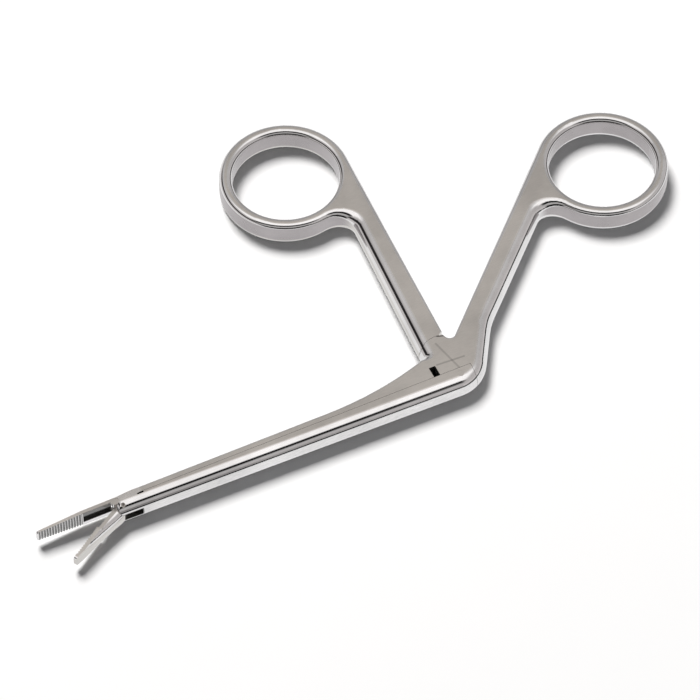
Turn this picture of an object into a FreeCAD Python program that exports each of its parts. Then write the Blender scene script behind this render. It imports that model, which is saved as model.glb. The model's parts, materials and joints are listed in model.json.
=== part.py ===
import FreeCAD, Part
import math
import os
import Sketcher

# Alligator ear forceps, in millimetres, lying flat on its lower face with the jaws towards -X.
# It is drawn about the axis of the handle pivot, with the jaws open, and every placement is then
# shifted so that the origin is under the middle of the whole outline.
# One forging is the rear handle, the body, the back bar of the shaft and the fixed jaw. The front
# handle turns on the pivot, its lever pushes the slide bar forward and the slide bar swings the
# lower jaw shut.

V = FreeCAD.Vector
DOC = FreeCAD.newDocument("alligator_forceps")
SHEET = DOC.addObject("Spreadsheet::Sheet", "Sizes")

# Driving dimensions: alias, value, meaning. Lengths are in mm and angles in degrees.
SIZES = [
    ("thickness", 4.7, "handles, body and shaft, from face to face"),
    ("side_land", 0.1, "straight wall left between the two roundings of an outer side"),
    ("edge_round", 0.4, "rounding of the inner edges"),
    ("running_gap", 0.05, "clearance of a pin in its hole and of faces that slide"),
    ("blade_gap", 0.06, "clearance of a lever or tang on each side of its slot"),
    ("ring_bore", 19.2, "diameter of a finger ring's hole"),
    ("ring_wall", 2.35, "radial wall of a finger ring"),
    ("ring_round", 1.05, "rounding of a finger ring's edges"),
    ("rear_ring_reach", 52.0, "pivot to the rear ring's centre"),
    ("rear_ring_angle", 32.05, "direction of the rear ring's centre"),
    ("front_ring_reach", 50.1, "pivot to the front ring's centre with the jaws open"),
    ("front_ring_angle", 99.75, "direction of the front ring's centre with the jaws open"),
    ("neck_radius", 3.5, "hollow where a shank runs into its ring"),
    ("rear_shank_root", 4.65, "rear shank across at the body"),
    ("rear_shank_neck", 5.0, "rear shank across below its ring"),
    ("rear_shank_reach", 32.0, "notch between the shanks to where the rear shank has that width"),
    ("front_shank_root", 5.5, "front shank across at its shoulder"),
    ("front_shank_neck", 4.85, "front shank across below its ring"),
    ("front_shank_reach", 28.0, "shoulder to where the front shank has that width"),
    ("shoulder_radius", 5.6, "round end of the body's cheeks, about the pivot"),
    ("shoulder_angle", 74.0, "direction of the inner end of the shoulder"),
    ("crotch_reach", 4.04, "pivot to the corner of the notch between the shanks"),
    ("crotch_angle", 58.7, "direction of that corner"),
    ("crotch_radius", 1.0, "radius in that corner"),
    ("corner_relief", 0.9, "how much of the front handle's inner corner is cut off, each way"),
    ("outer_relief", 0.45, "the same at its outer corner"),
    ("corner_forward", 3.9, "pivot to the body's outer corner, along the shaft"),
    ("corner_angle", 58.5, "slope of the body's side above its outer corner"),
    ("corner_radius", 7.0, "radius of the body's outer corner"),
    ("bend_radius", 15.0, "radius where the body's side bends into the rear shank"),
    ("back_drop", 1.0, "pivot to the back of the shaft, across the shaft"),
    ("seam_drop", 2.15, "pivot to the joint between back bar and slide bar"),
    ("root_drop", 5.9, "pivot to the shaft's outer side at the body"),
    ("nose_drop", 4.6, "pivot to the shaft's outer side at its front"),
    ("flare_start", 24.0, "pivot to where the back of the shaft starts to rise"),
    ("flare_radius", 62.0, "radius of that rise"),
    ("flare_end", 5.2, "pivot to where that rise meets the front shank"),
    ("flare_corner", 1.0, "radius in the corner at its end"),
    ("handle_travel", 16.0, "turn of the front handle that closes the jaws"),
    ("jaw_opening", 32.0, "angle between the open jaws"),
    ("drive_arm", 3.4, "handle pivot to drive pin"),
    ("jaw_forward", 63.95, "handle pivot to jaw pivot, along the shaft"),
    ("jaw_drop", 1.65, "handle pivot to jaw pivot, across the shaft"),
    ("mating_drop", 0.12, "jaw pivot to the toothed face of the fixed jaw"),
    ("mating_gap", 0.06, "gap between the toothed faces with the jaws shut"),
    ("handle_pin", 2.4, "diameter of the handle pivot pin"),
    ("drive_pin", 1.2, "diameter of the drive pin"),
    ("jaw_pin", 0.8, "diameter of the jaw pivot pin"),
    ("link_pin", 0.8, "diameter of the link pin"),
    ("lever_thickness", 1.5, "front handle's lever inside the body"),
    ("lever_hub", 2.15, "radius of the lever round the pivot"),
    ("lever_end", 1.1, "radius of the lever's end round the drive pin"),
    ("lever_arm_width", 2.2, "width of the lever between its hub and its end"),
    ("lever_neck", 3.4, "width of the lever under the shoulder"),
    ("lever_lean", 98.0, "direction of that part with the jaws open"),
    ("notch_room", 0.35, "room beside the lever's end in the slide bar"),
    ("slot_front", 3.0, "pivot to the front wall of the lever's slot"),
    ("slot_rear", 2.6, "pivot to the rear wall of the lever's slot"),
    ("window_start", 2.85, "pivot to the rear side of the window in the upper cheek"),
    ("window_length", 1.2, "window along the shaft"),
    ("window_height", 2.1, "window across the shaft, up from the joint"),
    ("slide_rear", 2.9, "pivot to the rear end of the slide bar with the jaws open"),
    ("slide_nose", 1.15, "link pin to the slide bar's front end"),
    ("nose_round", 0.95, "radius of the corners of that end, seen from above"),
    ("nose_edge_round", 1.3, "radius of the corners of that end, seen from the side"),
    ("nose_step", 0.35, "how far the slide bar is relieved under the fixed jaw's ears"),
    ("nose_step_start", 60.4, "pivot to the rear end of the ears"),
    ("ear_gap", 0.1, "gap between the ears and the slide bar"),
    ("ear_front", 1.0, "jaw pivot to the front end of the ears"),
    ("rail_depth", 0.8, "height of the dovetail rail under the back bar"),
    ("rail_root", 1.4, "dovetail rail across its root"),
    ("rail_crown", 2.2, "dovetail rail across its crown"),
    ("rail_start", 8.0, "pivot to the rear end of the rail"),
    ("rail_end", 57.0, "pivot to the front end of the rail"),
    ("tang_thickness", 1.5, "moving jaw's tang"),
    ("tang_hub", 0.6, "radius of the tang round the jaw pivot"),
    ("tang_end", 0.85, "radius of the tang round the link pin"),
    ("tang_length", 6.2, "jaw pivot to where the tang ends and the full jaw starts"),
    ("tang_depth", 1.0, "tang across, from the toothed face to the full jaw's web"),
    ("fork_length", 3.1, "link pin to the rear end of the slide bar's fork slot"),
    ("ear_slot_rear", 2.2, "jaw pivot to the rear end of the fixed jaw's slot"),
    ("ear_slot_front", 6.3, "jaw pivot to the front end of the fixed jaw's slot"),
    ("jaw_length", 14.9, "jaw pivot to the tip of the fixed jaw"),
    ("moving_jaw_length", 13.3, "jaw pivot to the tip of the moving jaw"),
    ("taper_start", 59.5, "pivot to where the shaft's faces start to taper"),
    ("jaw_root_width", 3.4, "jaws from face to face at the jaw pivot"),
    ("jaw_base_width", 3.2, "jaws from face to face where the teeth start"),
    ("jaw_tip_width", 2.1, "jaws from face to face at the tip"),
    ("jaw_tip_height", 0.5, "either jaw at its tip, across its teeth"),
    ("jaw_tip_round", 0.55, "radius of the corners at the jaws' tips"),
    ("moving_jaw_root", 2.85, "jaw pivot to the moving jaw's outer side at its root"),
    ("moving_jaw_base", 1.75, "jaw pivot to the moving jaw's outer side where the teeth start"),
    ("jaw_bend_radius", 12.0, "radius of the moving jaw's outer side there"),
    ("jaw_base_round", 1.3, "rounding of the moving jaw's outer side there"),
    ("root_clearance", 0.3, "room between the moving jaw's root and the slide bar's front end"),
    ("link_play", 0.06, "how much further the link pin can move along its slot in the tang"),
    ("pin_recess", 0.03, "how far the small pins' ends lie below the faces"),
    ("tooth_start", 6.4, "jaw pivot to the first tooth"),
    ("tooth_pitch", 0.5, "spacing of the teeth"),
    ("tooth_depth", 0.2, "depth of the teeth"),
    ("tooth_tip_margin", 0.45, "plain length between the last tooth and the tip"),
]


def fill_sheet():
    """Write one row per driving dimension: meaning, value and alias."""
    for row, (alias, value, meaning) in enumerate(SIZES, start=1):
        SHEET.set(f"A{row}", meaning)
        SHEET.set(f"B{row}", str(value))
        SHEET.setAlias(f"B{row}", alias)
    DOC.recompute()


fill_sheet()


def size(alias):
    """One driving dimension, read back from the sheet."""
    return float(SHEET.get(alias))


def angle(alias):
    """One driving angle, in radians."""
    return math.radians(size(alias))


# Plane geometry helpers

def polar(centre, radius, turn):
    return centre + V(radius * math.cos(turn), radius * math.sin(turn), 0)


def direction(turn):
    return V(math.cos(turn), math.sin(turn), 0)


def right_of(turn):
    """The unit vector a quarter turn clockwise from a direction."""
    return V(math.sin(turn), -math.cos(turn), 0)


def heading(start, end):
    return math.atan2(end.y - start.y, end.x - start.x)


def crossing(point_a, turn_a, point_b, turn_b):
    """Where two lines cross, each given by a point and a direction."""
    gap = point_b - point_a
    along = (gap.x * math.sin(turn_b) - gap.y * math.cos(turn_b)) / math.sin(turn_b - turn_a)
    return point_a + direction(turn_a) * along


def tangent_from(point, centre, radius, side):
    """The point where a line from a point touches a circle, and that line's direction."""
    gap = centre - point
    turn = heading(point, centre) + side * math.asin(radius / gap.Length)
    reach = math.sqrt(gap.Length ** 2 - radius ** 2)
    return polar(point, reach, turn), turn


def corner_arc(before, corner, after, radius):
    """Start, middle and end of an arc of a radius that rounds the corner of three points."""
    come = (before - corner).normalize()
    leave = (after - corner).normalize()
    half = come.getAngle(leave) / 2
    reach = radius / math.tan(half)
    centre = corner + (come + leave).normalize() * (radius / math.sin(half))
    middle = centre + (corner - centre).normalize() * radius
    return corner + come * reach, middle, corner + leave * reach


def line(start, end):
    return Part.LineSegment(start, end)


def arc(start, middle, end):
    return Part.Arc(start, middle, end)


def rounded_polygon(corners, radii):
    """Lines and arcs of a closed outline whose corners each have a radius, 0 for a sharp one."""
    stops = []
    for index, corner in enumerate(corners):
        if radii[index] > 0:
            before = corners[index - 1]
            after = corners[(index + 1) % len(corners)]
            stops.append(corner_arc(before, corner, after, radii[index]))
        else:
            stops.append((corner, None, corner))
    curves = []
    for index, (start, middle, end) in enumerate(stops):
        if middle is not None:
            curves.append(arc(start, middle, end))
        curves.append(line(end, stops[(index + 1) % len(stops)][0]))
    return curves


# Document helpers

def find_plane(body, role):
    return next(item for item in body.Origin.OriginFeatures if item.Role == role)


def link_ends(sketch):
    """Tie each curve's end to the next curve's start, so that the outline stays closed."""
    count = sketch.GeometryCount
    if count == 1:
        return
    for index in range(count):
        other = (index + 1) % count
        for end_a in (1, 2):
            for end_b in (1, 2):
                gap = sketch.getPoint(index, end_a) - sketch.getPoint(other, end_b)
                if gap.Length < 1e-5:
                    sketch.addConstraint(Sketcher.Constraint("Coincident", index, end_a, other, end_b))


def add_sketch(body, name, role="XY_Plane", level=None):
    """A sketch on one of the body's own planes, lifted by an expression where one is given."""
    sketch = body.newObject("Sketcher::SketchObject", name)
    sketch.AttachmentSupport = [(find_plane(body, role), "")]
    sketch.MapMode = "FlatFace"
    if level is not None:
        sketch.setExpression("AttachmentOffset.Base.z", level)
    return sketch


def add_pad(body, name, sketch, length, both_ways=False):
    pad = body.newObject("PartDesign::Pad", name)
    pad.Profile = sketch
    if both_ways:
        pad.SideType = "Symmetric"
    pad.setExpression("Length", length)
    body.Tip = pad
    return pad


def plate(name, curves, length="Sizes.thickness", level=None):
    """A body that is one flat outline, padded upwards."""
    body = DOC.addObject("PartDesign::Body", name)
    sketch = add_sketch(body, name + "_outline", level=level)
    for curve in curves:
        sketch.addGeometry(curve)
    link_ends(sketch)
    add_pad(body, name + "_pad", sketch, length)
    return body


def middle_plate(name, curves, thickness):
    """A plate of a thickness, centred between the two faces of the instrument."""
    return plate(name, curves, thickness, f"(Sizes.thickness - {thickness}) / 2")


def hole_cutter(name, centre, diameter):
    """A round bar through the whole thickness."""
    cutter = DOC.addObject("Part::Cylinder", name)
    cutter.setExpression("Radius", f"({diameter}) / 2")
    cutter.setExpression("Height", "3 * Sizes.thickness")
    cutter.Placement.Base = centre
    cutter.setExpression("Placement.Base.z", "-Sizes.thickness")
    return cutter


def cut(name, base, tool):
    result = DOC.addObject("Part::Cut", name)
    result.Base = base
    result.Tool = tool
    return result


def cut_all(name, base, tools):
    return cut(name, base, join(name + "_tools", tools))


def common(name, base, tool):
    result = DOC.addObject("Part::Common", name)
    result.Base = base
    result.Tool = tool
    return result


def join(name, parts):
    result = DOC.addObject("Part::MultiFuse", name)
    result.Shapes = parts
    return result


def rounded(name, base, rules):
    """A fillet whose radii are found by place: each rule is a plane curve, the radius at its start
    and the radius at its end, and it holds for the edges that lie over that curve."""
    DOC.recompute()
    entries = []
    for number, edge in enumerate(base.Shape.Edges, start=1):
        ends = [vertex.Point for vertex in edge.Vertexes]
        rise = abs(ends[0].z - ends[-1].z)
        if rise > 0.9 * (ends[0] - ends[-1]).Length and rise > 1e-6:
            continue
        half_way = edge.valueAt((edge.FirstParameter + edge.LastParameter) / 2)
        mark = Part.Vertex(V(half_way.x, half_way.y, 0))
        for curve, first, last in rules:
            shape = curve.toShape()
            if shape.distToShape(mark)[0] > 1e-4:
                continue
            start = shape.valueAt(shape.FirstParameter)
            near_start = math.hypot(ends[0].x - start.x, ends[0].y - start.y)
            near_end = math.hypot(ends[-1].x - start.x, ends[-1].y - start.y)
            entries.append((number, first, last) if near_start <= near_end else (number, last, first))
            break
    result = DOC.addObject("Part::Fillet", name)
    result.Base = base
    result.Edges = entries
    return result


# Places that several pieces share

ORIGIN = V(0, 0, 0)
RING_OUTER = size("ring_bore") / 2 + size("ring_wall")
SIDE_ROUND = (size("thickness") - size("side_land")) / 2
REAR_RING = polar(ORIGIN, size("rear_ring_reach"), angle("rear_ring_angle"))
FRONT_RING = polar(ORIGIN, size("front_ring_reach"), angle("front_ring_angle"))
JAW_PIVOT = V(-size("jaw_forward"), -size("jaw_drop"), 0)
HALF_TRAVEL = angle("handle_travel") / 2
HALF_OPENING = angle("jaw_opening") / 2
SLIDE_TRAVEL = 2 * size("drive_arm") * math.sin(HALF_TRAVEL)
LINK_ARM = SLIDE_TRAVEL / (2 * math.sin(HALF_OPENING))
DRIVE_PIN = polar(ORIGIN, size("drive_arm"), -math.pi / 2 + HALF_TRAVEL)
LINK_PIN = polar(JAW_PIVOT, LINK_ARM, -math.pi / 2 + HALF_OPENING)
MID_LEVEL = size("thickness") / 2


def ring_curves(start_point, ring, side, outer_start, width, reach):
    """The shank and ring of one handle.

    The shank's inner edge runs from a point to the ring's outer circle and touches it. side is +1
    where the ring lies clockwise of that edge and -1 where it lies the other way. The outer edge
    starts at a point, is the given width away from the inner edge at the given reach, and turns
    into the ring through a hollow.
    Returned are the curves by name, the end of the outer edge at the hollow, its start and its
    direction.
    """
    touch, turn = tangent_from(start_point, ring, RING_OUTER, side)
    across = right_of(turn) * side
    neck_point = start_point + direction(turn) * reach + across * width
    outer_turn = heading(outer_start, neck_point)
    outer_across = right_of(outer_turn) * side
    neck = size("neck_radius")
    depth = (ring - outer_start).dot(outer_across)
    along = (ring - outer_start).dot(direction(outer_turn))
    rise = math.sqrt((RING_OUTER + neck) ** 2 - (depth - neck) ** 2)
    hollow = outer_start + direction(outer_turn) * (along - rise) + outer_across * neck
    on_edge = hollow - outer_across * neck
    on_ring = hollow + (ring - hollow).normalize() * neck
    hollow_middle = hollow + ((on_edge + on_ring) / 2 - hollow).normalize() * neck
    far_side = ring - ((touch + on_ring) / 2 - ring).normalize() * RING_OUTER
    curves = {
        "inner": line(start_point, touch),
        "ring": arc(touch, far_side, on_ring),
        "neck": arc(on_ring, hollow_middle, on_edge),
        "bore": Part.Circle(ring, V(0, 0, 1), size("ring_bore") / 2),
    }
    return curves, on_edge, outer_start, outer_turn


def handle_rules(curves):
    """Roundings that both handles share, from the ring to the shank."""
    ring_round = size("ring_round")
    return [
        (curves["bore"], ring_round, ring_round),
        (curves["ring"], ring_round, ring_round),
        (curves["neck"], ring_round, SIDE_ROUND),
        (curves["inner"], size("edge_round"), size("edge_round")),
    ]


def shoulder_points(radius):
    """The inner end, middle and outer end of the round shoulder about the pivot."""
    spread = 2 * math.asin(size("front_shank_root") / 2 / size("shoulder_radius"))
    turns = [angle("shoulder_angle") + spread * share for share in (0, 0.5, 1)]
    return [polar(ORIGIN, radius, turn) for turn in turns]


def front_shank(radius):
    """The front handle's curves, starting at a shoulder of a radius."""
    inner_end, _, outer_end = shoulder_points(radius)
    return ring_curves(inner_end, FRONT_RING, -1, outer_end, size("front_shank_neck"),
                       size("front_shank_reach"))


# The forging before it is split: rear handle, body and the whole section of the shaft

def forging_side(on_edge, outer_start, shank_turn):
    """The outer side of the forging, from the ring's hollow round the body's corner to the front."""
    corner = V(size("corner_forward"), -size("root_drop"), 0)
    fall = (size("root_drop") - size("nose_drop")) / (size("corner_forward") + size("jaw_forward"))
    outer_front = V(TIP_X, corner.y + fall * (corner.x - TIP_X), 0)
    bend = crossing(corner, angle("corner_angle"), outer_start, shank_turn)
    bend_start, bend_middle, bend_end = corner_arc(corner, bend, on_edge, size("bend_radius"))
    round_start, round_middle, round_end = corner_arc(outer_front, corner, bend, size("corner_radius"))
    return [
        line(on_edge, bend_end),
        arc(bend_end, bend_middle, bend_start),
        line(bend_start, round_end),
        arc(round_end, round_middle, round_start),
        line(round_start, outer_front),
    ]


def forging_back():
    """The handle side of the forging: the fixed jaw's back, the shaft's back, the rise to the body
    and the short edge under the front shank."""
    back_y = -size("back_drop")
    jaw_tip = V(TIP_X, TOOTH_FACE_Y + size("jaw_tip_height"), 0)
    jaw_crown = V(JAW_PIVOT.x - size("tooth_start"), back_y, 0)
    back_front = V(-size("nose_step_start"), back_y, 0)
    flare_begin = V(-size("flare_start"), back_y, 0)
    flare_centre = flare_begin + V(0, size("flare_radius"), 0)
    flare_turn = math.asin((size("flare_start") - size("flare_end")) / size("flare_radius"))
    flare_middle, flare_end = [polar(flare_centre, size("flare_radius"), flare_turn * share - math.pi / 2)
                               for share in (0.5, 1)]
    cheek_end = shoulder_points(size("shoulder_radius"))[2]
    cheek_turn = front_shank(size("shoulder_radius"))[3]
    foot = crossing(flare_end, flare_turn, cheek_end, cheek_turn)
    foot_start, foot_middle, foot_end = corner_arc(flare_end, foot, cheek_end, size("flare_corner"))
    jaw_back = [line(jaw_tip, jaw_crown), line(jaw_crown, back_front)]
    shaft_back = [
        line(back_front, flare_begin),
        arc(flare_begin, flare_middle, flare_end),
        line(flare_end, foot_start),
    ]
    cheek = [arc(foot_start, foot_middle, foot_end), line(foot_end, cheek_end)]
    return jaw_back, shaft_back, cheek


def side_view(name, pivot_x, length, reach_back, tip_round):
    """What is left of a bar seen from its side: it narrows evenly on both faces, from the shaft's
    thickness past the jaw pivot to the tip of the jaw, whose corners may be round."""
    root = V(pivot_x, size("jaw_root_width") / 2, 0)
    shoulder = V(pivot_x + size("jaw_forward") - size("taper_start"), MID_LEVEL, 0)
    over = shoulder + (shoulder - root)
    base = V(pivot_x - size("tooth_start"), size("jaw_base_width") / 2, 0)
    tip = V(pivot_x - length, size("jaw_tip_width") / 2, 0)
    half = [V(pivot_x + reach_back, over.y, 0), over, root, base, tip]
    corners = half + [V(point.x, -point.y, 0) for point in reversed(half)]
    bend = size("jaw_bend_radius")
    radii = [0, 0, 0, bend, tip_round, tip_round, bend, 0, 0, 0]
    return side_plate(name, rounded_polygon(corners, radii))


def side_plate(name, curves):
    """A body whose outline is drawn on the side view, about the middle level, and is padded wide
    enough both ways to hold the whole instrument."""
    body = DOC.addObject("PartDesign::Body", name)
    sketch = add_sketch(body, name + "_outline", "XZ_Plane")
    for curve in curves:
        sketch.addGeometry(curve)
    link_ends(sketch)
    add_pad(body, name + "_pad", sketch, "8 * Sizes.thickness + 2 * Sizes.rear_ring_reach", both_ways=True)
    sketch.setExpression("AttachmentOffset.Base.y", "Sizes.thickness / 2")
    return body


def forging():
    """The rear handle, the body and the whole section of the shaft before they are split: once as
    thick as the body throughout, and once with its front tapered to the jaw."""
    crotch = polar(ORIGIN, size("crotch_reach"), angle("crotch_angle"))
    across = right_of(tangent_from(crotch, REAR_RING, RING_OUTER, 1)[1])
    curves, on_edge, outer_start, shank_turn = ring_curves(
        crotch, REAR_RING, 1, crotch + across * size("rear_shank_root"), size("rear_shank_neck"),
        size("rear_shank_reach"))
    side = forging_side(on_edge, outer_start, shank_turn)
    jaw_back, shaft_back, cheek = forging_back()
    outer_front = side[-1].EndPoint
    jaw_tip = jaw_back[0].StartPoint
    inner_end, middle, outer_end = shoulder_points(size("shoulder_radius"))
    notch_start, notch_middle, notch_end = corner_arc(
        inner_end, crotch, curves["inner"].EndPoint, size("crotch_radius"))
    curves["inner"] = line(notch_end, curves["inner"].EndPoint)
    outline = [curves["inner"], curves["ring"], curves["neck"]] + side
    outline += [line(outer_front, jaw_tip)] + jaw_back + shaft_back + cheek
    outline += [arc(outer_end, middle, inner_end), line(inner_end, notch_start)]
    outline += [arc(notch_start, notch_middle, notch_end)]
    blank = plate("forging_blank", outline)
    bored = cut("forging_bored", blank, hole_cutter("rear_ring_bore", REAR_RING, "Sizes.ring_bore"))
    small = size("edge_round")
    rules = handle_rules(curves)
    rules += [(curve, SIDE_ROUND, SIDE_ROUND) for curve in side]
    rules += [(curve, small, small) for curve in shaft_back]
    rules += [(cheek[0], small, SIDE_ROUND), (cheek[1], SIDE_ROUND, SIDE_ROUND)]
    smooth = rounded("forging_rounded", bored, rules)
    reach_back = size("jaw_forward") + size("rear_ring_reach") + 2 * RING_OUTER
    profile = side_view("shaft_side_view", JAW_PIVOT.x, size("jaw_length"), reach_back, size("jaw_tip_round"))
    return smooth, common("forging_tapered", smooth, profile)


def slide_outline(gap):
    """The part of the shaft's section that the slide bar takes, seen from above. A gap of 0 gives
    the bar itself, and the running gap gives the space that the forging leaves for it."""
    top = -size("seam_drop") - size("running_gap") + gap
    below = -3 * size("root_drop")
    rear = size("slide_rear") + gap
    if gap:
        step_x = -size("nose_step_start")
        ear_y = -size("seam_drop") - size("nose_step") + size("ear_gap")
        ear_front = JAW_PIVOT.x - size("ear_front")
        far = TIP_X - size("thickness")
        corners = [V(rear, below, 0), V(rear, top, 0), V(step_x, top, 0), V(step_x, ear_y, 0),
                   V(ear_front, ear_y, 0), V(ear_front, TOOTH_FACE_Y, 0), V(far, TOOTH_FACE_Y, 0),
                   V(far, below, 0)]
        radii = [0, 0, 0, 0, size("ear_gap") * 4, 0, 0, 0]
    else:
        step_x = -size("nose_step_start") + SLIDE_TRAVEL + 2 * size("ear_gap")
        nose_top = -size("seam_drop") - size("nose_step")
        front = LINK_PIN.x - size("slide_nose")
        round_nose = size("nose_round")
        corners = [V(rear, below, 0), V(rear, top, 0), V(step_x, top, 0), V(step_x, nose_top, 0),
                   V(front, nose_top, 0), V(front, -size("nose_drop"), 0),
                   V(front + 2 * round_nose, -size("nose_drop"), 0), V(front + 2 * round_nose, below, 0)]
        radii = [0, 0, 0, 0, round_nose, round_nose, 0, 0]
    return rounded_polygon(corners, radii)


def tall_plate(name, curves):
    """A cutter of a plane outline that reaches past both faces."""
    return plate(name, curves, "3 * Sizes.thickness", "-Sizes.thickness")


def box_outline(low_x, low_y, high_x, high_y):
    corners = [V(low_x, low_y, 0), V(high_x, low_y, 0), V(high_x, high_y, 0), V(low_x, high_y, 0)]
    return rounded_polygon(corners, [0, 0, 0, 0])


def rail(name, gap, start_x, end_x):
    """The dovetail under the back bar, or with a gap the groove that it runs in."""
    root = size("rail_root") / 2 + gap
    crown = size("rail_crown") / 2 + gap
    top = -size("seam_drop") + size("running_gap")
    bottom = -size("seam_drop") - size("rail_depth") - gap
    body = DOC.addObject("PartDesign::Body", name)
    sketch = add_sketch(body, name + "_section", "YZ_Plane", level=str(end_x))
    corners = [V(top, -root, 0), V(top, root, 0), V(bottom, crown, 0), V(bottom, -crown, 0)]
    for curve in rounded_polygon(corners, [0, 0, 0, 0]):
        sketch.addGeometry(curve)
    link_ends(sketch)
    sketch.setExpression("AttachmentOffset.Base.y", "Sizes.thickness / 2")
    add_pad(body, name + "_pad", sketch, str(start_x - end_x))
    return body


def tooth_comb(name, face_y, start_x, end_x, side):
    """The space between the teeth of a jaw: a row of notches that point into the jaw. side is +1
    where the jaw lies above its toothed face and -1 where it lies below."""
    pitch = size("tooth_pitch")
    count = int((start_x - end_x) / pitch)
    points = []
    for index in range(count):
        left = start_x - index * pitch
        points.append(V(left, face_y, 0))
        points.append(V(left - pitch / 2, face_y + side * size("tooth_depth"), 0))
    last = V(start_x - count * pitch, face_y, 0)
    depth = side * size("tooth_depth")
    points += [last, V(last.x, face_y - depth, 0), V(start_x, face_y - depth, 0)]
    return tall_plate(name, rounded_polygon(points, [0] * len(points)))


def window():
    """The window in the upper cheek, from the lever's slot to the upper face."""
    start_x = -size("window_start")
    start_y = -size("seam_drop")
    curves = box_outline(start_x - size("window_length"), start_y - size("running_gap"),
                         start_x, start_y + size("window_height"))
    return plate("window_cutter", curves, "Sizes.thickness", "Sizes.thickness / 2")


def lever_slot():
    """The slot between the cheeks: wide enough for the swing of the lever, and open to the slide."""
    bottom = -size("seam_drop") - size("running_gap")
    top = size("shoulder_radius") + size("thickness")
    window_top = -size("seam_drop") + size("window_height") + size("edge_round")
    window_front = -size("window_start") - size("window_length") - size("notch_room")
    corners = [V(size("slot_rear"), bottom, 0), V(size("slot_rear"), top, 0), V(-size("slot_front"), top, 0),
               V(-size("slot_front"), window_top, 0), V(window_front, window_top, 0), V(window_front, bottom, 0)]
    return middle_plate("lever_slot_cutter", rounded_polygon(corners, [0] * 6),
                        "(Sizes.lever_thickness + 2 * Sizes.blade_gap)")


def fixed_half(base):
    slide_space = tall_plate("slide_space", slide_outline(size("running_gap")))
    ear_slot = middle_plate(
        "ear_slot_cutter",
        box_outline(JAW_PIVOT.x - size("ear_slot_front"), -3 * size("jaw_drop"),
                    JAW_PIVOT.x + size("ear_slot_rear"), 3 * size("jaw_drop")),
        "(Sizes.tang_thickness + 2 * Sizes.blade_gap)")
    comb = tooth_comb("fixed_jaw_comb", TOOTH_FACE_Y, JAW_PIVOT.x - size("tooth_start"),
                      TIP_X + size("tooth_tip_margin"), 1)
    tools = [
        slide_space, ear_slot, comb, window(), lever_slot(),
        hole_cutter("handle_pin_hole", ORIGIN, "Sizes.handle_pin"),
        hole_cutter("jaw_pin_hole", JAW_PIVOT, "Sizes.jaw_pin"),
    ]
    carved = cut_all("fixed_half_carved", base, tools)
    return join("fixed_half", [carved, rail("guide_rail", 0, -size("rail_start"), -size("rail_end"))])


def nose_view():
    """The slide bar seen from its side: a bar whose front end has round corners."""
    front = LINK_PIN.x - size("slide_nose")
    half = size("thickness") / 2
    corners = [V(front, -half, 0), V(size("slide_rear") * 2, -half, 0), V(size("slide_rear") * 2, half, 0),
               V(front, half, 0)]
    corner = size("nose_edge_round")
    return side_plate("nose_view", rounded_polygon(corners, [corner, 0, 0, corner]))


def slide_bar(base):
    region = tall_plate("slide_region", slide_outline(0))
    square = common("slide_bar_square", base, region)
    bar = common("slide_bar_form", square, nose_view())
    half_notch = size("lever_arm_width") / 2 + size("notch_room")
    notch = middle_plate(
        "lever_notch_cutter",
        box_outline(DRIVE_PIN.x - half_notch, DRIVE_PIN.y - size("lever_end") - size("notch_room") / 2,
                    DRIVE_PIN.x + half_notch, 0),
        "(Sizes.lever_thickness + 2 * Sizes.blade_gap)")
    fork_end = LINK_PIN.x + size("fork_length")
    fork_y = -3 * size("root_drop")
    fork = middle_plate("fork_slot_cutter", box_outline(TIP_X, fork_y, fork_end, 0),
                        "(Sizes.tang_thickness + 2 * Sizes.blade_gap)")
    groove = rail("guide_groove", size("blade_gap"), -size("rail_start") + SLIDE_TRAVEL + size("notch_room"),
                  -size("rail_end") - size("notch_room"))
    tools = [
        notch, fork, groove,
        hole_cutter("drive_pin_hole", DRIVE_PIN, "Sizes.drive_pin"),
        hole_cutter("link_pin_hole", LINK_PIN, "Sizes.link_pin"),
    ]
    return cut_all("slide_bar", bar, tools)


def front_handle():
    radius = size("shoulder_radius") + size("running_gap")
    curves, on_edge, outer_start, _ = front_shank(radius)
    inner_end, middle, outer_end = shoulder_points(radius)
    shank_side = line(on_edge, outer_end)
    outline = [curves["inner"], curves["ring"], curves["neck"], shank_side, arc(outer_end, middle, inner_end)]
    blank = plate("front_handle_blank", outline)
    bored = cut("front_handle_bored", blank, hole_cutter("front_ring_bore", FRONT_RING, "Sizes.ring_bore"))
    smooth = rounded("front_handle_rounded", bored, handle_rules(curves) + [(shank_side, SIDE_ROUND, SIDE_ROUND)])
    lever = lever_blades()
    reliefs = [
        corner_relief("inner_corner_relief", inner_end, curves["inner"].EndPoint, radius, size("corner_relief"), 1),
        corner_relief("outer_corner_relief", outer_end, on_edge, radius, size("outer_relief"), -1),
    ]
    whole = join("front_handle_joined", [cut_all("front_handle_relieved", smooth, reliefs)] + lever)
    return cut_all("front_handle", whole, [
        hole_cutter("lever_pivot_hole", ORIGIN, "Sizes.handle_pin + 2 * Sizes.running_gap"),
        hole_cutter("lever_drive_hole", DRIVE_PIN, "Sizes.drive_pin + 2 * Sizes.running_gap"),
    ])


def corner_relief(name, corner, along, radius, reach, side):
    """The triangle that is cut off a corner of the front handle's shoulder. side is +1 at the
    clockwise end of the shoulder's arc and -1 at its other end."""
    up = corner + (along - corner).normalize() * reach
    around = polar(ORIGIN, radius * 1.01, heading(ORIGIN, corner) + side * reach / radius)
    out = corner + (corner - around).normalize() * reach / 2 - (along - corner).normalize() * reach
    return tall_plate(name, rounded_polygon([up, around, out], [0, 0, 0]))


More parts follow.
